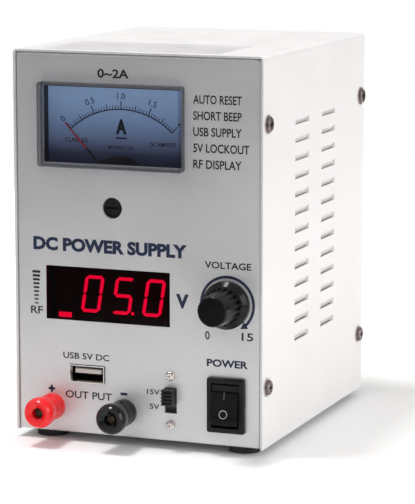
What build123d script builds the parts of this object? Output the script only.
from build123d import *
from math import radians, tan
import os

# Bench power supply with an analogue current meter, a digital voltmeter, a voltage knob,
# binding posts and a USB outlet. +Z is up and the front panel faces -Y. The origin is on the
# ground, under the middle of the outline. All sizes are in millimetres.

# --- Case ---
case_width = 100.0
case_depth = 120.0
case_height = 146.0
sheet = 1.0
cover_sheet = 0.8
cover_bend = 1.5
chassis_bend = 1.0
chassis_gap = 0.2
setback = 0.3
floor_lift = 0.4
flange_depth = 10.0
floor_flange = 9.0
foot_height = 3.0
foot_radius = 6.5
foot_inset = 10.5
front_reach = 16.0
rear_reach = 4.0

# --- Cover louvres and screws ---
louvre_length = 16.2
louvre_height = 2.6
louvre_depth = 1.5
louvre_skin = 0.6
louvre_pitch = 6.915
louvre_rows = 13
louvre_lowest = 34.55
louvre_middle = 59.35
louvre_column_gap = 30.9
cover_screw_inset = 5.0
left_front_screw_inset = 8.0
cover_screw_heights = (23.0, 121.0)
cover_screw_radius = 1.4
screw_clearance = 1.6
washer_radius = 3.5
washer_thickness = 0.5

# --- Front panel layout: (across, up) from the case's lower left corner ---
meter_at = (40.0, 118.3)
meter_cutout = (56.0, 29.0)
meter_opening = (55.6, 28.6)
meter_cover_size = (58.4, 32.0)
meter_cover_reach = 3.5
meter_cover_skin = 1.3
meter_cover_wall = 1.2
meter_pivot = (41.7, 94.1)
meter_swing = 85.6
needle_reach = 33.0
adjuster_at = (40.0, 87.6)
adjuster_radius = 3.3
display_at = (37.95, 54.2)
display_size = (50.5, 20.6)
middle_digit_at = (43.35, 54.1)
digit_pitch = 12.5
digit_height = 14.2
digit_width = 7.7
digit_slant = 9.0
segment_width = 1.2
segment_gap = 0.08
bar_at = (19.45, 45.45)
bar_size = (5.2, 1.9)
bar_pitch = 2.45
bar_count = 8
knob_at = (86.1, 54.1)
rocker_at = (85.9, 16.05)
rocker_cutout = (13.2, 19.2)
bezel_size = (14.8, 20.8)
bezel_corner = 0.8
bezel_reach = 2.0
rocker_tilt = 10.0
slide_at = (63.45, 16.05)
slide_window = (4.9, 9.9)
slide_screw_spacing = 18.9
slide_travel = 3.6
usb_at = (29.4, 23.5)
usb_hole = (14.8, 7.2)
post_height = 10.0
post_across = {"red": 15.0, "black": 44.5}
post_hole_radius = 4.05

# --- Binding posts ---
stud_radius = 3.0
socket_radius = 2.05
stud_front = 11.2
socket_floor = 1.0
collar_reach = 2.6
cap_front = 15.5

# --- Rear panel layout: (across, up) from the lower right corner, as seen from behind ---
inlet_at = (26.6, 30.0)
inlet_flange = (50.0, 32.0)
inlet_body = (28.0, 30.0)
inlet_screw_spacing = 40.0
fuse_slot = (25.8, 6.6)
vent_size = (22.0, 3.0)
vent_pitch = 8.0
vent_count = 6
vent_middle = 58.0
vent_heights = (75.0, 105.0)

# --- Inner parts ---
running_gap = 0.05
transformer_at = (-19.0, 34.0)
core_size = (54.0, 26.0, 45.0)
leg_width = 9.0
board_size = (86.0, 41.0)
board_thickness = 1.6
board_at = (0.0, -6.5)
board_hole_inset = 4.0
standoff_height = 6.0

front_y = (front_reach - rear_reach - case_depth) / 2
rear_y = front_y + case_depth
panel_y = front_y + setback
back_y = rear_y - setback
middle_y = (front_y + rear_y) / 2
floor_z = foot_height + floor_lift
floor_top = floor_z + sheet

chassis_width = case_width - 2 * (cover_sheet + chassis_gap)
chassis_depth = back_y - panel_y
chassis_height = case_height - cover_sheet - chassis_gap - floor_lift
foot_grid = (case_width - 2 * foot_inset, case_depth - 2 * foot_inset, 2, 2)
board_grid = (board_size[0] - 2 * board_hole_inset, board_size[1] - 2 * board_hole_inset, 2, 2)

# Each face's plane has its normal pointing outward, so inner parts have negative heights
front = Plane(origin=(-case_width / 2, panel_y, foot_height), x_dir=(1, 0, 0), z_dir=(0, -1, 0))
back = Plane(origin=(case_width / 2, back_y, foot_height), x_dir=(-1, 0, 0), z_dir=(0, 1, 0))
right = Plane(origin=(case_width / 2, front_y, foot_height), x_dir=(0, 1, 0), z_dir=(1, 0, 0))
left = Plane(origin=(-case_width / 2, front_y, foot_height), x_dir=(0, -1, 0), z_dir=(-1, 0, 0))
across_middle = Plane(origin=(0, rear_y, foot_height), x_dir=(1, 0, 0), z_dir=(0, -1, 0))
upright = (Align.CENTER, Align.CENTER, Align.MIN)
inward = (Align.CENTER, Align.CENTER, Align.MAX)

rear_screw_depth = case_depth - cover_screw_inset
cover_screw_places = [
    *(right.location * Location((cover_screw_inset, up, 0)) for up in cover_screw_heights),
    *(right.location * Location((rear_screw_depth, up, 0)) for up in cover_screw_heights),
    *(left.location * Location((-left_front_screw_inset, up, 0)) for up in cover_screw_heights),
    *(left.location * Location((-rear_screw_depth, up, 0)) for up in cover_screw_heights),
]

os.makedirs("parts", exist_ok=True)


def save(piece, name):
    """Labels a finished piece and writes it under its own name."""
    piece.part.label = name
    export_step(piece.part, f"parts/{name}.step")


def tapered_block(size, top_size, low, high):
    """A block that narrows from low to high, both rectangles sharing their lower edge's line."""
    with BuildPart() as block:
        with BuildSketch(Plane.XY.offset(low)):
            Rectangle(*size, align=(Align.CENTER, Align.MIN))
        with BuildSketch(Plane.XY.offset(high)):
            Rectangle(*top_size, align=(Align.CENTER, Align.MIN))
        loft()
    return block.part


def cross_head_screw(shank_radius, shank_length, head_radius, head_height):
    """A pan-head screw with a cross recess, its head standing on z = 0."""
    with BuildPart() as screw:
        Cylinder(head_radius, head_height, align=upright)
        fillet(screw.edges().sort_by(Axis.Z)[-1], radius=0.55 * head_height)
        Cylinder(shank_radius, shank_length, align=inward)
        with BuildSketch(Plane.XY.offset(head_height)):
            Rectangle(1.15 * head_radius, 0.3 * head_radius)
            Rectangle(0.3 * head_radius, 1.15 * head_radius)
        extrude(amount=-0.6 * head_height, mode=Mode.SUBTRACT)
    return screw.part


def flat_head_screw(shank_radius, shank_length, head_radius, head_height):
    """A countersunk screw with a cross recess, its head's face on z = 0."""
    with BuildPart() as screw:
        Cone(shank_radius, head_radius, head_height, align=inward)
        Cylinder(shank_radius, shank_length, align=inward)
        with BuildSketch():
            Rectangle(1.15 * head_radius, 0.3 * head_radius)
            Rectangle(0.3 * head_radius, 1.15 * head_radius)
        extrude(amount=-0.6 * head_height, mode=Mode.SUBTRACT)
    return screw.part


def hex_nut(across_flats, thickness, bore_radius):
    """A chamfered hexagon nut standing on z = 0."""
    with BuildPart() as nut:
        with BuildSketch():
            RegularPolygon(across_flats / 2, 6, major_radius=False)
        extrude(amount=thickness)
        Cylinder(across_flats / 2 + 0.4, thickness, align=upright, mode=Mode.INTERSECT)
        Hole(bore_radius)
    return nut.part


# --- Chassis: front panel, floor and rear panel folded from one sheet ---
with BuildPart() as chassis:
    with BuildSketch(Plane.XY.offset(floor_z)):
        with Locations((0, middle_y)):
            Rectangle(chassis_width, chassis_depth)
    extrude(amount=chassis_height)
    fillet(chassis.edges(), radius=chassis_bend)
    with BuildSketch(Plane.XY.offset(floor_top)):
        with Locations((0, middle_y)):
            Rectangle(chassis_width - 2 * sheet, chassis_depth - 2 * sheet)
    extrude(amount=chassis_height - 2 * sheet, mode=Mode.SUBTRACT)
    with BuildSketch(Plane.XY.offset(foot_height + floor_flange)):
        with Locations((0, middle_y)):
            Rectangle(case_width, chassis_depth - 2 * flange_depth)
    extrude(amount=case_height, mode=Mode.SUBTRACT)
    with BuildSketch(front):
        with Locations(meter_at):
            Rectangle(*meter_cutout)
        with Locations(display_at):
            Rectangle(*display_size)
        with Locations(rocker_at):
            Rectangle(*rocker_cutout)
        with Locations(slide_at):
            Rectangle(*slide_window)
            with GridLocations(0, slide_screw_spacing, 1, 2):
                Circle(1.1)
        with Locations(usb_at):
            RectangleRounded(*usb_hole, 0.4)
        with Locations(adjuster_at):
            Circle(adjuster_radius + 0.7)
        with Locations(knob_at):
            Circle(3.6)
        with Locations(*[(across, post_height) for across in post_across.values()]):
            Circle(post_hole_radius)
    extrude(amount=-2 * sheet, mode=Mode.SUBTRACT)
    with BuildSketch(back):
        with Locations(inlet_at):
            Rectangle(inlet_body[0] + 0.4, inlet_body[1] + 0.4)
            with GridLocations(inlet_screw_spacing, 0, 2, 1):
                Circle(screw_clearance)
        for vent_height in vent_heights:
            with Locations((vent_middle, vent_height)):
                with GridLocations(vent_pitch, 0, vent_count, 1):
                    SlotOverall(*vent_size, rotation=90)
    extrude(amount=-2 * sheet, mode=Mode.SUBTRACT)
    with Locations(*cover_screw_places):
        Cylinder(cover_screw_radius + 0.1, 6 * sheet, mode=Mode.SUBTRACT)
    with BuildSketch(Plane.XY.offset(floor_z)):
        with Locations((0, middle_y)):
            with GridLocations(*foot_grid):
                Circle(screw_clearance)
        with Locations(board_at):
            with GridLocations(*board_grid):
                Circle(1.3)
    extrude(amount=sheet, mode=Mode.SUBTRACT)
save(chassis, "chassis")

# --- Cover: an inverted U with two columns of louvres pressed inward on each side ---
# Each louvre slopes inward from its top and is cut open along its lower edge
pocket = tapered_block(
    (louvre_length, louvre_height),
    (louvre_length - 1.0, 0.5),
    0,
    -louvre_depth,
)
dent = tapered_block(
    (louvre_length + 2 * louvre_skin, louvre_height + louvre_skin),
    (louvre_length - 1.0 + louvre_skin, 0.5 + louvre_skin / 2),
    0,
    -louvre_depth - louvre_skin,
)
louvre_columns = (louvre_middle - louvre_column_gap / 2, louvre_middle + louvre_column_gap / 2)
louvre_places = [
    right.location * Location((depth, louvre_lowest + row * louvre_pitch, 0))
    for depth in louvre_columns
    for row in range(louvre_rows)
]
with BuildPart() as cover:
    with BuildSketch(across_middle) as half_section:
        Rectangle(case_width / 2, case_height, align=(Align.MIN, Align.MIN))
        fillet(half_section.vertices().sort_by(Axis.X)[-2:].sort_by(Axis.Y)[-1], radius=cover_bend)
        Rectangle(
            case_width / 2 - cover_sheet,
            case_height - cover_sheet,
            align=(Align.MIN, Align.MIN),
            mode=Mode.SUBTRACT,
        )
    extrude(amount=case_depth)
    with Locations(*louvre_places):
        add(dent)
        add(pocket, mode=Mode.SUBTRACT)
    mirror(about=Plane.YZ)
    with Locations(*cover_screw_places):
        Hole(screw_clearance, depth=2 * cover_sheet)
save(cover, "cover")

cover_screw = cross_head_screw(cover_screw_radius, 6.0, 2.8, 1.1)
with BuildPart() as cover_screws:
    with Locations(*[place * Location((0, 0, washer_thickness)) for place in cover_screw_places]):
        add(cover_screw)
save(cover_screws, "cover_screws")

with BuildPart() as cover_washers:
    with Locations(*cover_screw_places):
        Cylinder(washer_radius, washer_thickness, align=upright)
        Cylinder(screw_clearance, washer_thickness, align=upright, mode=Mode.SUBTRACT)
save(cover_washers, "cover_washers")

# --- Feet ---
foot_recess = 1.8
with BuildPart() as feet:
    with Locations((0, middle_y)):
        with GridLocations(*foot_grid):
            Cone(foot_radius - 0.5, foot_radius, floor_z, align=upright)
            Cylinder(3.4, foot_recess, align=upright, mode=Mode.SUBTRACT)
            Cylinder(screw_clearance, floor_z, align=upright, mode=Mode.SUBTRACT)
save(feet, "feet")

foot_screw = cross_head_screw(1.4, 5.5, 2.8, 1.2)
with BuildPart(Plane.XY) as foot_screws:
    with Locations((0, middle_y, foot_recess)):
        with GridLocations(*foot_grid):
            add(foot_screw, rotation=(180, 0, 0))
save(foot_screws, "foot_screws")

# --- Moving-coil meter ---
meter_plate = 1.9
dial_depth = 5.2
dial_size = (56.2, 41.0)
dial_middle = 111.5
dial_thickness = 0.6
case_back = 26.0
back_wall = 1.8
pillar_spacing = 29.0
with BuildPart() as meter_window:
    with BuildSketch(front):
        with Locations(meter_at):
            RectangleRounded(*meter_cover_size, 1.2)
    extrude(amount=meter_cover_reach)
    fillet(meter_window.faces().sort_by(Axis.Y)[0].edges(), radius=0.6)
    with BuildSketch(front):
        with Locations(meter_at):
            Rectangle(
                meter_cover_size[0] - 2 * meter_cover_wall,
                meter_cover_size[1] - 2 * meter_cover_wall,
            )
    extrude(amount=meter_cover_reach - meter_cover_skin, mode=Mode.SUBTRACT)
save(meter_window, "meter_window")

housing_width = 59.0
housing_wall = 1.2
housing_low = 78.0
housing_high = 134.0
ear_size = (75.0, 12.0)
meter_stud_spacing = 68.0
meter_stud_up = 97.0
meter_stud_spots = [(meter_at[0] + side * meter_stud_spacing / 2, meter_stud_up) for side in (-1, 1)]
with BuildPart() as meter_case:
    with BuildSketch(front.offset(-sheet)):
        with Locations((meter_at[0], (housing_low + housing_high) / 2)):
            Rectangle(housing_width, housing_high - housing_low)
    extrude(amount=sheet - case_back)
    with BuildSketch(front.offset(-sheet)):
        with Locations((meter_at[0], meter_stud_up)):
            Rectangle(*ear_size)
    extrude(amount=-2.0)
    with BuildSketch(front.offset(-meter_plate)):
        with Locations((meter_at[0], (housing_low + housing_high) / 2)):
            Rectangle(housing_width - 2 * housing_wall, housing_high - housing_low - 2 * housing_wall)
    extrude(amount=meter_plate + back_wall - case_back, mode=Mode.SUBTRACT)
    with BuildSketch(front):
        with Locations(meter_at):
            Rectangle(*meter_opening)
        with Locations(adjuster_at):
            Circle(adjuster_radius)
    extrude(amount=-2 * meter_plate, mode=Mode.SUBTRACT)
    with BuildSketch(front):
        with Locations(*meter_stud_spots):
            Circle(screw_clearance)
    extrude(amount=-4 * sheet, mode=Mode.SUBTRACT)
save(meter_case, "meter_case")

with BuildPart() as meter_dial:
    with BuildSketch(front.offset(-dial_depth)):
        with Locations((meter_at[0], dial_middle)):
            Rectangle(*dial_size)
        with Locations(meter_pivot):
            Circle(7.5, mode=Mode.SUBTRACT)
            Rectangle(15.0, 12.0, align=(Align.CENTER, Align.MAX), mode=Mode.SUBTRACT)
            with GridLocations(pillar_spacing, 0, 2, 1):
                Circle(1.8, mode=Mode.SUBTRACT)
    extrude(amount=-dial_thickness)
save(meter_dial, "meter_dial")

shroud_radius = 12.8
shroud_depth = 3.6
shroud_thickness = 0.6
with BuildPart() as meter_shroud:
    with BuildSketch(front.offset(-shroud_depth)):
        with Locations(meter_pivot):
            Circle(shroud_radius)
            Circle(2.2, mode=Mode.SUBTRACT)
            Rectangle(
                2 * shroud_radius + 1,
                shroud_radius,
                align=(Align.CENTER, Align.MAX),
                mode=Mode.SUBTRACT,
            )
    extrude(amount=shroud_thickness)
    with BuildSketch(front.offset(-shroud_depth)):
        for side in (-1, 1):
            with Locations((meter_pivot[0] + side * 9.3, meter_pivot[1] + 1.3)):
                Circle(1.1)
    extrude(amount=shroud_depth - dial_depth)
save(meter_shroud, "meter_shroud")

# The magnet ring carries the core on two thin webs above and below it
pivot_pin_radius = 0.5
ring_front = 11.5
ring_back = 22.6
bridge_back = 2.8
bridge_thickness = 0.7
with BuildPart() as meter_magnet:
    with BuildSketch(front.offset(-ring_front)):
        with Locations(meter_pivot):
            Circle(12.0)
            Circle(6.6, mode=Mode.SUBTRACT)
    extrude(amount=ring_front - ring_back)
    with BuildSketch(front.offset(-ring_front)):
        with Locations(meter_pivot):
            Circle(4.4)
            Rectangle(1.4, 14.0)
    extrude(amount=-9.0)
save(meter_magnet, "meter_magnet")

with BuildPart() as meter_frame:
    with BuildSketch(front.offset(-ring_back)):
        with Locations(meter_pivot):
            Rectangle(34.0, 24.0)
            Circle(pivot_pin_radius + running_gap, mode=Mode.SUBTRACT)
    extrude(amount=-1.6)
    with BuildSketch(front.offset(-ring_back)):
        with Locations(meter_pivot):
            with GridLocations(pillar_spacing, 0, 2, 1):
                Circle(1.5)
    extrude(amount=ring_back - bridge_back)
    with BuildSketch(front.offset(-bridge_back)):
        with Locations(meter_pivot):
            SlotOverall(pillar_spacing + 4.0, 4.0)
            Circle(pivot_pin_radius + running_gap, mode=Mode.SUBTRACT)
    extrude(amount=bridge_thickness)
save(meter_frame, "meter_frame")

# The pointer starts at the left end of the scale
movement_turned = Location((*meter_pivot, 0), (0, 0, meter_swing / 2))
pointer_depth = 4.5
with BuildPart() as meter_pointer:
    with BuildSketch(front.offset(-pointer_depth)):
        with Locations(movement_turned):
            Circle(1.8)
            Polygon((-0.45, 0), (0.45, 0), (0.16, needle_reach), (-0.16, needle_reach), align=None)
            Polygon((-0.6, 0), (0.6, 0), (1.5, -7.5), (-1.5, -7.5), align=None)
        with Locations(meter_pivot):
            Circle(pivot_pin_radius, mode=Mode.SUBTRACT)
    extrude(amount=0.35)
save(meter_pointer, "meter_pointer")

coil_back = 22.2
coil_length = 12.4
coil_width = 12.0
coil_wall = 1.0
coil_breadth = 2.4
with BuildPart() as meter_coil:
    with BuildSketch(front.offset(-coil_back)):
        with Locations(movement_turned):
            Rectangle(coil_width, coil_breadth)
    extrude(amount=coil_length)
    with BuildSketch(front.offset(coil_wall - coil_back)):
        with Locations(movement_turned):
            Rectangle(coil_width - 2 * coil_wall, coil_breadth)
    extrude(amount=coil_length - 2 * coil_wall, mode=Mode.SUBTRACT)
    with BuildSketch(front.offset(coil_length - coil_back)):
        with Locations(meter_pivot):
            Circle(pivot_pin_radius)
    extrude(amount=coil_back - coil_length - bridge_back + 0.3)
    with BuildSketch(front.offset(-coil_back)):
        with Locations(meter_pivot):
            Circle(pivot_pin_radius)
    extrude(amount=-1.2)
save(meter_coil, "meter_coil")

meter_nut = hex_nut(5.5, 2.4, 1.5)
with BuildPart(front) as meter_nuts:
    with Locations(*[(across, up, -5.4) for across, up in meter_stud_spots]):
        add(meter_nut)
    with Locations(*[(across, up, -sheet) for across, up in meter_stud_spots]):
        Cylinder(1.5, 6.0, align=inward)
save(meter_nuts, "meter_nuts")

adjuster_front = 0.7
adjuster_rim = meter_plate + 0.1
with BuildPart(front) as zero_adjuster:
    with Locations((*adjuster_at, -adjuster_front)):
        Cylinder(adjuster_radius - running_gap, adjuster_rim - adjuster_front, align=inward)
    chamfer(zero_adjuster.edges().sort_by(Axis.Y)[0], length=0.5)
    with Locations((*adjuster_at, -adjuster_rim)):
        Cylinder(adjuster_radius + 0.3, 0.6, align=inward)
    with Locations((adjuster_at[0], adjuster_at[1] + 1.5, -adjuster_rim - 0.6)):
        Cylinder(0.5, 1.2, align=inward)
    with Locations((*adjuster_at, -adjuster_front)):
        Box(4.6, 0.8, 0.9, align=inward, mode=Mode.SUBTRACT)
save(zero_adjuster, "zero_adjuster")

# --- Digital display ---
segment_depth = 2.2
with BuildPart() as display_window:
    with BuildSketch(front):
        with Locations(display_at):
            Rectangle(display_size[0] - 0.1, display_size[1] - 0.1)
    extrude(amount=-sheet)
    with BuildSketch(front.offset(-sheet)):
        with Locations(display_at):
            Rectangle(display_size[0] + 4.0, display_size[1] + 3.0)
    extrude(amount=-0.8)
save(display_window, "display_window")

face_depth = segment_depth + 0.3
module_back = 10.0
with BuildPart() as display_modules:
    with BuildSketch(front.offset(-face_depth)):
        with Locations(middle_digit_at):
            Rectangle(3 * digit_pitch, 19.0)
        with Locations((bar_at[0], display_at[1])):
            Rectangle(8.0, 20.0)
    extrude(amount=face_depth - module_back)
save(display_modules, "display_modules")

with BuildPart() as display_board:
    with BuildSketch(front.offset(-module_back)):
        with Locations(display_at):
            Rectangle(56.0, 30.0)
    extrude(amount=-board_thickness)
save(display_board, "display_board")

lean = tan(radians(digit_slant))
half_high = (digit_height - segment_width) / 2
half_wide = (digit_width - segment_width) / 2
half_stroke = segment_width / 2
flat_rise = {"a": half_high, "g": 0.0, "d": -half_high}
tall_side = {"b": (1, 0), "c": (1, -1), "e": (-1, -1), "f": (-1, 0)}


def leaned(across, up, digit_across):
    """A digit's point, slanted and moved to its place on the panel."""
    return (digit_across + across + up * lean, middle_digit_at[1] + up)


def segment_outline(name, digit_across):
    """The six corners of one of the seven segments."""
    if name in flat_rise:
        reach = half_wide - segment_gap
        inner = reach - half_stroke
        corners = [
            (-reach, 0),
            (-inner, half_stroke),
            (inner, half_stroke),
            (reach, 0),
            (inner, -half_stroke),
            (-inner, -half_stroke),
        ]
        corners = [(across, up + flat_rise[name]) for across, up in corners]
    else:
        side, row = tall_side[name]
        low = row * half_high + segment_gap
        high = (row + 1) * half_high - segment_gap
        corners = [
            (0, low),
            (half_stroke, low + half_stroke),
            (half_stroke, high - half_stroke),
            (0, high),
            (-half_stroke, high - half_stroke),
            (-half_stroke, low + half_stroke),
        ]
        corners = [(across + side * half_wide, up) for across, up in corners]
    return [leaned(across, up, digit_across) for across, up in corners]


digit_centers = [middle_digit_at[0] + place * digit_pitch for place in (-1, 0, 1)]
lit_names = ["abcdef", "acdfg", "abcdef"]
point_offset = (half_wide + 1.6, -half_high)
point_spots = [leaned(*point_offset, across) for across in digit_centers]
bar_spots = [(bar_at[0], bar_at[1] + bar * bar_pitch) for bar in range(bar_count)]

with BuildPart() as display_segments_lit:
    with BuildSketch(front.offset(-face_depth)):
        for across, names in zip(digit_centers, lit_names):
            for name in names:
                Polygon(*segment_outline(name, across), align=None)
        with Locations(point_spots[1]):
            Circle(half_stroke)
        with Locations(bar_spots[0]):
            Rectangle(*bar_size)
    extrude(amount=face_depth - segment_depth)
save(display_segments_lit, "display_segments_lit")

with BuildPart() as display_segments_dark:
    with BuildSketch(front.offset(-face_depth)):
        for across, names in zip(digit_centers, lit_names):
            for name in sorted(set("abcdefg") - set(names)):
                Polygon(*segment_outline(name, across), align=None)
        with Locations(point_spots[0], point_spots[2]):
            Circle(half_stroke)
        with Locations(*bar_spots[1:]):
            Rectangle(*bar_size)
    extrude(amount=face_depth - segment_depth)
save(display_segments_dark, "display_segments_dark")

# --- Voltage knob and potentiometer ---
knob_top = front_reach + setback
knob_base = 0.5
skirt_radius = 9.0
grip_foot = 6.7
grip_top = 5.7
knob_axis = Plane(
    origin=(knob_at[0] - case_width / 2, panel_y, foot_height + knob_at[1]),
    x_dir=(1, 0, 0),
    z_dir=(0, 0, 1),
)
with BuildPart() as voltage_knob:
    with BuildSketch(knob_axis):
        with BuildLine():
            Polyline(
                (0, -5.6),
                (3.9, -5.6),
                (3.9, -2.8),
                (6.4, -2.8),
                (6.4, -knob_base),
                (skirt_radius, -knob_base),
                (skirt_radius, -2.6),
                (grip_foot + 0.9, -4.4),
                (grip_foot, -5.2),
                (grip_top, 0.5 - knob_top),
                (grip_top - 0.5, -knob_top),
                (0, -knob_top),
                close=True,
            )
        make_face()
    revolve(axis=Axis(knob_axis.origin, (0, 1, 0)))
    with BuildSketch(front.offset(4.9)):
        with Locations(knob_at):
            with PolarLocations(grip_foot + 0.25, 18):
                Circle(0.75)
    extrude(amount=knob_top, mode=Mode.SUBTRACT)
    with BuildSketch(front.offset(5.0)):
        with Locations(knob_at):
            Circle(3.0 + running_gap)
    extrude(amount=9.5, mode=Mode.SUBTRACT)
save(voltage_knob, "voltage_knob")

pot_back = 9.0
with BuildPart(front) as pot_body:
    with Locations((*knob_at, -sheet)):
        Cylinder(8.0, pot_back - sheet, align=inward)
    with Locations((knob_at[0], knob_at[1] - 9.0, -3.0)):
        Box(12.0, 7.0, 1.2, align=inward)
    with Locations((*knob_at, -sheet)):
        Cylinder(3.5, 6.0, align=upright)
    with Locations((*knob_at, -7.0)):
        Cylinder(3.0 + running_gap, 13.0, align=upright, mode=Mode.SUBTRACT)
save(pot_body, "pot_body")

with BuildPart(front) as pot_shaft:
    with Locations((*knob_at, -6.8)):
        Cylinder(3.0, 6.8 + 14.0, align=upright)
    chamfer(pot_shaft.edges().sort_by(Axis.Y)[0], length=0.5)
save(pot_shaft, "pot_shaft")

pot_nut_shape = hex_nut(10.0, 2.0, 3.5 + running_gap)
with BuildPart(front) as pot_nut:
    with Locations((*knob_at, 0)):
        add(pot_nut_shape)
save(pot_nut, "pot_nut")

# --- Rocker power switch ---
pivot_depth = 1.0
rocker_radius = 8.2
rocker_window = (11.0, 17.0)
rocker_width = 10.5
switch_back = 17.0
with BuildPart() as power_switch_housing:
    with BuildSketch(front):
        with Locations(rocker_at):
            RectangleRounded(*bezel_size, bezel_corner)
    extrude(amount=bezel_reach)
    fillet(power_switch_housing.faces().sort_by(Axis.Y)[0].edges(), radius=0.6)
    with BuildSketch(front):
        with Locations(rocker_at):
            Rectangle(rocker_cutout[0] - 0.3, rocker_cutout[1] - 0.3)
    extrude(amount=-switch_back)
    with BuildSketch(front.offset(bezel_reach)):
        with Locations(rocker_at):
            Rectangle(*rocker_window)
    extrude(amount=-bezel_reach - 11.0, mode=Mode.SUBTRACT)
save(power_switch_housing, "power_switch_housing")

rocker_side = Plane(
    origin=(
        rocker_at[0] - case_width / 2 - rocker_width / 2,
        panel_y + pivot_depth,
        foot_height + rocker_at[1],
    ),
    x_dir=(0, 0, 1),
    z_dir=(1, 0, 0),
)
valley = 2.6
rise = tan(radians(rocker_tilt))
with BuildPart() as power_switch_rocker:
    with BuildSketch(rocker_side):
        with Locations(Location((0, 0, 0), (0, 0, -rocker_tilt))):
            Circle(rocker_radius)
            Polygon(
                (-12, 14),
                (-12, valley + 12 * rise),
                (0, valley),
                (12, valley + 12 * rise),
                (12, 14),
                align=None,
                mode=Mode.SUBTRACT,
            )
            Rectangle(24, 12, align=(Align.CENTER, Align.MAX), mode=Mode.SUBTRACT)
            with Locations((0, 0.01)):
                Trapezoid(9.0, 4.5, 60, align=(Align.CENTER, Align.MAX), rotation=180)
    extrude(amount=rocker_width)
save(power_switch_rocker, "power_switch_rocker")

with BuildPart(front) as power_switch_tabs:
    for up in (-6.0, 0.0, 6.0):
        with Locations((rocker_at[0], rocker_at[1] + up, -switch_back)):
            Box(4.8, 0.8, 7.0, align=inward)
            with Locations((0, 0, -4.5)):
                Cylinder(0.9, 2.0, rotation=(90, 0, 0), mode=Mode.SUBTRACT)
save(power_switch_tabs, "power_switch_tabs")

# --- 5 V / 15 V slide switch ---
actuator_size = (4.3, 5.9)
actuator_up = slide_at[1] + slide_travel / 2
switch_plate = 1.5
with BuildPart() as slide_switch_case:
    with BuildSketch(front.offset(-sheet)):
        with Locations(slide_at):
            RectangleRounded(7.2, 23.6, 1.5)
            Rectangle(5.1, 10.1, mode=Mode.SUBTRACT)
            with GridLocations(0, slide_screw_spacing, 1, 2):
                Circle(1.0, mode=Mode.SUBTRACT)
    extrude(amount=sheet - switch_plate)
    with BuildSketch(front.offset(-switch_plate)):
        with Locations(slide_at):
            Rectangle(7.2, 14.0)
            Rectangle(6.2, 12.6, mode=Mode.SUBTRACT)
    extrude(amount=-4.5)
    with BuildSketch(front.offset(-6.0)):
        with Locations(slide_at):
            Rectangle(7.2, 14.0)
            with GridLocations(0, 4.0, 1, 3):
                Rectangle(1.2, 0.6, mode=Mode.SUBTRACT)
    extrude(amount=-1.0)
save(slide_switch_case, "slide_switch_case")

ridge_pitch = 1.35
with BuildPart() as slide_switch_actuator:
    with BuildSketch(front.offset(-2.0)):
        with Locations((slide_at[0], actuator_up)):
            Rectangle(5.6, 8.2)
    extrude(amount=-2.6)
    with BuildSketch(front.offset(-2.0)):
        with Locations((slide_at[0], actuator_up)):
            Rectangle(*actuator_size)
    extrude(amount=2.0 + 4.6)
    with BuildSketch(front.offset(4.6)):
        with Locations((slide_at[0], actuator_up)):
            with GridLocations(0, ridge_pitch, 1, 4):
                Rectangle(actuator_size[0], 0.5)
    extrude(amount=-0.9, mode=Mode.SUBTRACT)
save(slide_switch_actuator, "slide_switch_actuator")

small_screw = cross_head_screw(0.95, 4.5, 1.8, 1.3)
with BuildPart(front) as slide_switch_screws:
    with Locations((*slide_at, 0)):
        with GridLocations(0, slide_screw_spacing, 1, 2):
            add(small_screw)
save(slide_switch_screws, "slide_switch_screws")

# --- USB outlet ---
usb_outer = (13.2, 5.8)
usb_skin = 0.35
usb_length = 14.0
lip_size = (14.4, 6.8)
usb_front = 0.6
with BuildPart() as usb_shell:
    with BuildSketch(front.offset(usb_front - 1.2)):
        with Locations(usb_at):
            Rectangle(*usb_outer)
            Rectangle(usb_outer[0] - 2 * usb_skin, usb_outer[1] - 2 * usb_skin, mode=Mode.SUBTRACT)
    extrude(amount=1.2 - usb_length)
    with BuildSketch(front.offset(usb_front - 1.2)):
        with Locations(usb_at):
            Rectangle(*usb_outer)
    with BuildSketch(front.offset(usb_front)):
        with Locations(usb_at):
            Rectangle(*lip_size)
    loft()
    with BuildSketch(front.offset(usb_front - 1.2)):
        with Locations(usb_at):
            Rectangle(usb_outer[0] - 2 * usb_skin, usb_outer[1] - 2 * usb_skin)
    with BuildSketch(front.offset(usb_front)):
        with Locations(usb_at):
            Rectangle(lip_size[0] - 2 * usb_skin, lip_size[1] - 2 * usb_skin)
    loft(mode=Mode.SUBTRACT)
    with BuildSketch(front.offset(usb_front - usb_length)):
        with Locations(usb_at):
            Rectangle(*usb_outer)
    extrude(amount=usb_skin)
save(usb_shell, "usb_shell")

tongue_up = usb_at[1] + 0.95
tongue_front = 1.0
with BuildPart(front) as usb_tongue:
    with Locations((usb_at[0], tongue_up, -tongue_front)):
        Box(11.1, 1.9, 11.5, align=inward)
    chamfer(usb_tongue.faces().sort_by(Axis.Y)[0].edges(), length=0.3)
save(usb_tongue, "usb_tongue")

with BuildPart(front) as usb_contacts:
    with Locations((usb_at[0], tongue_up - 0.95 - 0.1, -tongue_front - 1.2)):
        with GridLocations(2.25, 0, 4, 1):
            Box(1.0, 0.2, 9.0, align=inward)
save(usb_contacts, "usb_contacts")

with BuildPart(front) as usb_board:
    with Locations((usb_at[0], usb_at[1] - usb_outer[1] / 2 - board_thickness / 2, -1.4)):
        Box(20.0, board_thickness, 20.0, align=inward)
save(usb_board, "usb_board")

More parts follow.
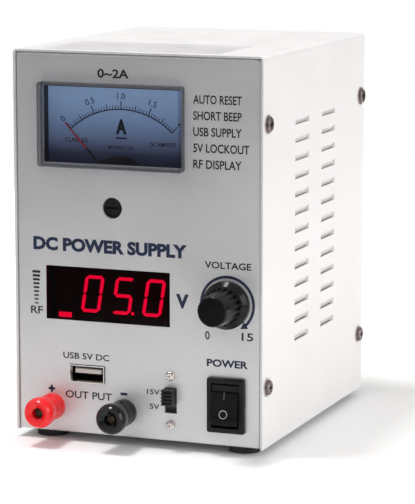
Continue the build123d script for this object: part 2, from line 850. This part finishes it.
# --- Binding posts: the cap screws along the stud on a threaded insert ---
cap_start = collar_reach + 0.4
collar_radius = 5.1
bulb_radius = 5.8
waist_radius = 5.0
grip_radius = 5.1
insert_radius = 4.0
cap_bore_radius = 2.2
for colour, across in post_across.items():
    post_center = (across, post_height)
    post_axis = Plane(
        origin=(across - case_width / 2, panel_y, foot_height + post_height),
        x_dir=(1, 0, 0),
        z_dir=(0, 0, 1),
    )
    with BuildPart() as post_collar:
        with BuildSketch(front):
            with Locations(post_center):
                Circle(collar_radius)
        extrude(amount=collar_reach)
        chamfer(post_collar.edges().sort_by(Axis.Y)[0], length=0.4)
        with BuildSketch(front):
            with Locations(post_center):
                Circle(4.0)
        extrude(amount=-sheet)
        with BuildSketch(front.offset(-sheet)):
            with Locations(post_center):
                Circle(6.0)
        extrude(amount=-1.5)
        with BuildSketch(front.offset(collar_reach)):
            with Locations(post_center):
                Circle(stud_radius + running_gap)
        extrude(amount=-8.0, mode=Mode.SUBTRACT)
    save(post_collar, f"{colour}_post_collar")

    with BuildPart() as post_stud:
        with BuildSketch(front.offset(-12.0)):
            with Locations(post_center):
                Circle(stud_radius)
        extrude(amount=12.0 + stud_front)
        with BuildSketch(front.offset(socket_floor)):
            with Locations(post_center):
                Circle(socket_radius)
        extrude(amount=stud_front, mode=Mode.SUBTRACT)
    save(post_stud, f"{colour}_post_stud")

    with BuildPart() as post_insert:
        with BuildSketch(front.offset(cap_start)):
            with Locations(post_center):
                Circle(insert_radius)
                Circle(stud_radius + running_gap, mode=Mode.SUBTRACT)
        extrude(amount=7.6)
    save(post_insert, f"{colour}_post_insert")

    with BuildPart() as post_cap:
        with BuildSketch(post_axis):
            with BuildLine():
                cap_rear = Line((insert_radius + running_gap, -cap_start), (grip_radius, -cap_start))
                grip = Line(cap_rear @ 1, (grip_radius, -6.4))
                waist = Line(grip @ 1, (waist_radius, -7.8))
                bulb = ThreePointArc(waist @ 1, (bulb_radius - 0.25, -9.6), (bulb_radius, -11.6))
                nose = ThreePointArc(bulb @ 1, (bulb_radius - 0.35, -14.2), (4.5, -cap_front))
                rim = Line(nose @ 1, (3.8, -cap_front))
                Polyline(
                    rim @ 1,
                    (cap_bore_radius, -cap_front + 1.2),
                    (cap_bore_radius, -stud_front - 0.5),
                    (insert_radius + running_gap, -stud_front - 0.5),
                    (insert_radius + running_gap, -cap_start),
                )
            make_face()
        revolve(axis=Axis(post_axis.origin, (0, 1, 0)))
        with BuildSketch(front.offset(cap_start)):
            with Locations(post_center):
                with PolarLocations(grip_radius + 0.05, 30):
                    Circle(0.25)
        extrude(amount=3.6, mode=Mode.SUBTRACT)
    save(post_cap, f"{colour}_post_cap")

post_nut = hex_nut(10.0, 3.0, stud_radius + running_gap)
with BuildPart(front) as post_nuts:
    with Locations(*[(across, post_height, -5.6) for across in post_across.values()]):
        add(post_nut)
save(post_nuts, "post_nuts")

# --- Mains transformer ---
core_low = floor_top
with BuildPart() as transformer_core:
    with Locations((*transformer_at, core_low)):
        Box(*core_size, align=upright)
        with Locations((0, 0, core_size[2] / 2)):
            with GridLocations(3 * leg_width, 0, 2, 1):
                Box(leg_width, core_size[1], 3 * leg_width, mode=Mode.SUBTRACT)
save(transformer_core, "transformer_core")

with BuildPart() as transformer_winding:
    with Locations((*transformer_at, core_low + core_size[2] / 2)):
        Box(4 * leg_width - 0.4, core_size[1] + 18.4, 3 * leg_width - 0.6)
        Box(2 * leg_width + 0.2, core_size[1] + 0.4, 3 * leg_width, mode=Mode.SUBTRACT)
    fillet(transformer_winding.edges().filter_by(Axis.Z).group_by(Axis.Y)[0], radius=4.0)
    fillet(transformer_winding.edges().filter_by(Axis.Z).group_by(Axis.Y)[-1], radius=4.0)
save(transformer_winding, "transformer_winding")

strap_gap = 0.3
with BuildPart() as transformer_strap:
    with Locations((*transformer_at, core_low)):
        Box(core_size[0] + 2 * strap_gap + 2.0, 14.0, core_size[2] + strap_gap + 1.0, align=upright)
        Box(
            core_size[0] + 2 * strap_gap,
            14.0,
            core_size[2] + strap_gap,
            align=upright,
            mode=Mode.SUBTRACT,
        )
save(transformer_strap, "transformer_strap")

# --- Main circuit board and the parts it carries ---
board_low = floor_top + standoff_height
board_top = board_low + board_thickness
with BuildPart() as main_board:
    with Locations((*board_at, board_low)):
        Box(*board_size, board_thickness, align=upright)
        with GridLocations(*board_grid):
            Cylinder(1.6, board_thickness, align=upright, mode=Mode.SUBTRACT)
save(main_board, "main_board")

with BuildPart() as board_standoffs:
    with Locations((*board_at, floor_top)):
        with GridLocations(*board_grid):
            Cylinder(3.0, standoff_height, align=upright)
    with Locations((*board_at, floor_z - 0.2)):
        with GridLocations(*board_grid):
            Cylinder(1.25, 0.2 + sheet + standoff_height + board_thickness, align=upright)
    with Locations((*board_at, board_top)):
        with GridLocations(*board_grid):
            Cylinder(2.7, 1.6, align=upright)
save(board_standoffs, "board_standoffs")

with BuildPart() as filter_capacitor:
    with Locations((4.0, -12.0, board_top)):
        Cylinder(11.0, 34.0, align=upright)
    fillet(filter_capacitor.edges().sort_by(Axis.Z)[-1], radius=1.0)
save(filter_capacitor, "filter_capacitor")

with BuildPart() as bridge_rectifier:
    with Locations((26.0, -18.0, board_top + 3.0)):
        Box(20.0, 4.5, 15.0, align=upright)
    with Locations((26.0, -18.0, board_top)):
        with GridLocations(5.0, 0, 4, 1):
            Box(1.0, 1.0, 3.0, align=upright)
save(bridge_rectifier, "bridge_rectifier")

sink_at = (17.5, 5.0)
with BuildPart() as heatsink:
    with Locations((*sink_at, board_top)):
        Box(34.0, 3.0, 45.0, align=upright)
        with Locations((0, 1.5, 0)):
            with GridLocations(4.4, 0, 8, 1):
                Box(1.2, 6.0, 45.0, align=(Align.CENTER, Align.MIN, Align.MIN))
save(heatsink, "heatsink")

with BuildPart() as power_transistor:
    with Locations((sink_at[0], sink_at[1] - 1.5, board_top + 14.0)):
        Box(15.6, 4.6, 20.0, align=(Align.CENTER, Align.MAX, Align.MIN))
    with Locations((sink_at[0], sink_at[1] - 3.6, board_top)):
        with GridLocations(5.4, 0, 3, 1):
            Box(1.2, 0.8, 14.0, align=upright)
save(power_transistor, "power_transistor")

with BuildPart() as relay:
    with Locations((-29.0, -10.0, board_top)):
        Box(19.0, 15.5, 15.3, align=upright)
    fillet(relay.edges().filter_by(Axis.Z), radius=0.8)
save(relay, "relay")

with BuildPart() as buzzer:
    with Locations((-12.0, 4.0, board_top)):
        Cylinder(6.0, 9.5, align=upright)
        Cylinder(1.1, 9.5, align=upright, mode=Mode.SUBTRACT)
        Cylinder(5.0, 8.0, align=upright, mode=Mode.SUBTRACT)
save(buzzer, "buzzer")

# --- Mains inlet with its fuse drawer ---
flange_thickness = 3.0
socket_rise = 4.5
socket_size = (24.4, 16.8)
socket_depth = 16.5
drawer_rise = -10.0
body_depth = 23.0
pin_size = (2.0, 4.0)
pin_tip = 2.0
pin_back = body_depth + 6.0
pin_spots = [
    (inlet_at[0] + across, inlet_at[1] + socket_rise + up)
    for across, up in ((-7.0, -1.5), (0.0, 2.5), (7.0, -1.5))
]
inlet_top_face = back.offset(flange_thickness)
with BuildPart(back) as inlet_housing:
    with BuildSketch(back):
        with Locations(inlet_at):
            RectangleRounded(*inlet_flange, 4.0)
    extrude(amount=flange_thickness)
    fillet(inlet_housing.faces().sort_by(Axis.Y)[-1].edges(), radius=0.6)
    with BuildSketch(back):
        with Locations(inlet_at):
            Rectangle(*inlet_body)
    extrude(amount=-body_depth)
    with BuildSketch(inlet_top_face) as socket_outline:
        with Locations((inlet_at[0], inlet_at[1] + socket_rise)):
            Rectangle(*socket_size)
        chamfer(socket_outline.vertices().group_by(Axis.Y)[0], length=4.2)
    extrude(amount=-socket_depth, mode=Mode.SUBTRACT)
    with BuildSketch(inlet_top_face):
        with Locations((inlet_at[0], inlet_at[1] + drawer_rise)):
            Rectangle(*fuse_slot)
    extrude(amount=-flange_thickness - 20.0, mode=Mode.SUBTRACT)
    with BuildSketch(back):
        with Locations(*pin_spots):
            Rectangle(*pin_size)
    extrude(amount=-pin_back, mode=Mode.SUBTRACT)
    with Locations((*inlet_at, flange_thickness)):
        with GridLocations(inlet_screw_spacing, 0, 2, 1):
            CounterSinkHole(1.6, 3.3, depth=2 * flange_thickness)
save(inlet_housing, "inlet_housing")

with BuildPart(back) as inlet_pins:
    with Locations(*[(across, up, -pin_tip) for across, up in pin_spots]):
        Box(*pin_size, pin_back - pin_tip, align=inward)
    chamfer(inlet_pins.faces().sort_by(Axis.Y)[-3:].edges(), length=0.5)
save(inlet_pins, "inlet_pins")

inlet_screw = flat_head_screw(1.5, 8.0, 3.1, 1.6)
with BuildPart(back) as inlet_screws:
    with Locations((*inlet_at, flange_thickness - 0.1)):
        with GridLocations(inlet_screw_spacing, 0, 2, 1):
            add(inlet_screw)
save(inlet_screws, "inlet_screws")

drawer_front = rear_reach + setback
drawer_gap = 0.3
drawer_length = 18.0
drawer_center = (inlet_at[0], inlet_at[1] + drawer_rise)
fuse_length = 20.0
fuse_radius = 2.5
fuse_depth = 8.0
with BuildPart(back) as fuse_drawer:
    with Locations((*drawer_center, drawer_front)):
        Box(
            fuse_slot[0] - 2 * drawer_gap,
            fuse_slot[1] - 2 * drawer_gap,
            drawer_front + drawer_length,
            align=inward,
        )
    chamfer(fuse_drawer.faces().sort_by(Axis.Y)[-1].edges(), length=0.4)
    with Locations((drawer_center[0], drawer_center[1] + 2.0, -fuse_depth)):
        Box(fuse_length + 1.0, fuse_radius * 2 + 2.6, fuse_radius * 2 + 0.8, mode=Mode.SUBTRACT)
    with Locations((drawer_center[0], drawer_center[1] + 2.0, drawer_front)):
        Box(12.0, 1.2, 1.0, align=inward, mode=Mode.SUBTRACT)
save(fuse_drawer, "fuse_drawer")

with BuildPart(back) as fuse:
    with Locations((drawer_center[0], drawer_center[1] + 0.6, -fuse_depth)):
        Cylinder(fuse_radius - 0.2, fuse_length, rotation=(0, 90, 0))
save(fuse, "fuse")
